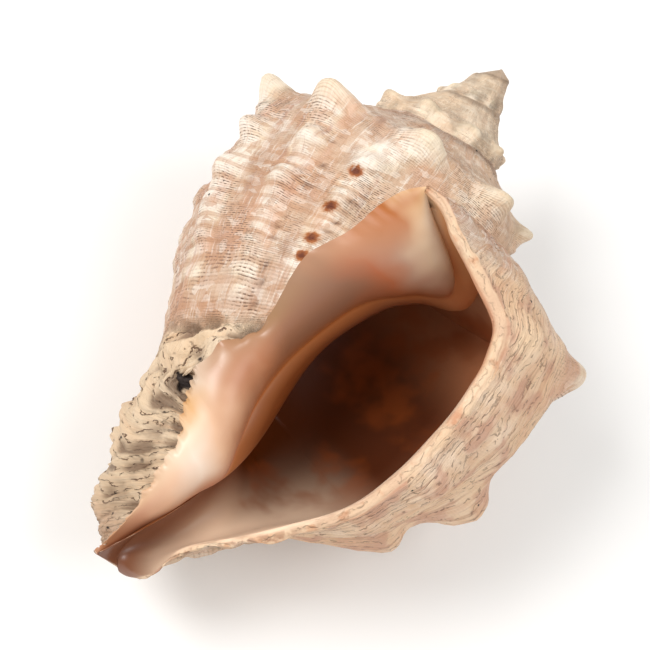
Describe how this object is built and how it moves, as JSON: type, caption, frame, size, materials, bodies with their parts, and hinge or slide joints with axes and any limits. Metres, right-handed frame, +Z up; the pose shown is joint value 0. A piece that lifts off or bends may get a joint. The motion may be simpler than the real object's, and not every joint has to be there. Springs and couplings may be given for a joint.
{
  "type": "conch shell",
  "caption": "Knobbed whelk-type sea shell lying on its back, with a low spire, shoulder knobs, a wide open mouth, a smooth inner lip and a short spout.",
  "frame": {"origin": "centre of the bounding box at the level of the surface it lies on", "axes": "+X towards the tip of the spire, along the shell's length; +Z up, out of the mouth; +Y across, towards the side away from the outer lip"},
  "size_m": [0.1186, 0.0824, 0.0697],
  "materials": {
    "shell": "matte outside, satin inside the mouth"
  },
  "bodies": {
    "root": {"shell": "shell"}
  },
  "joints": []
}
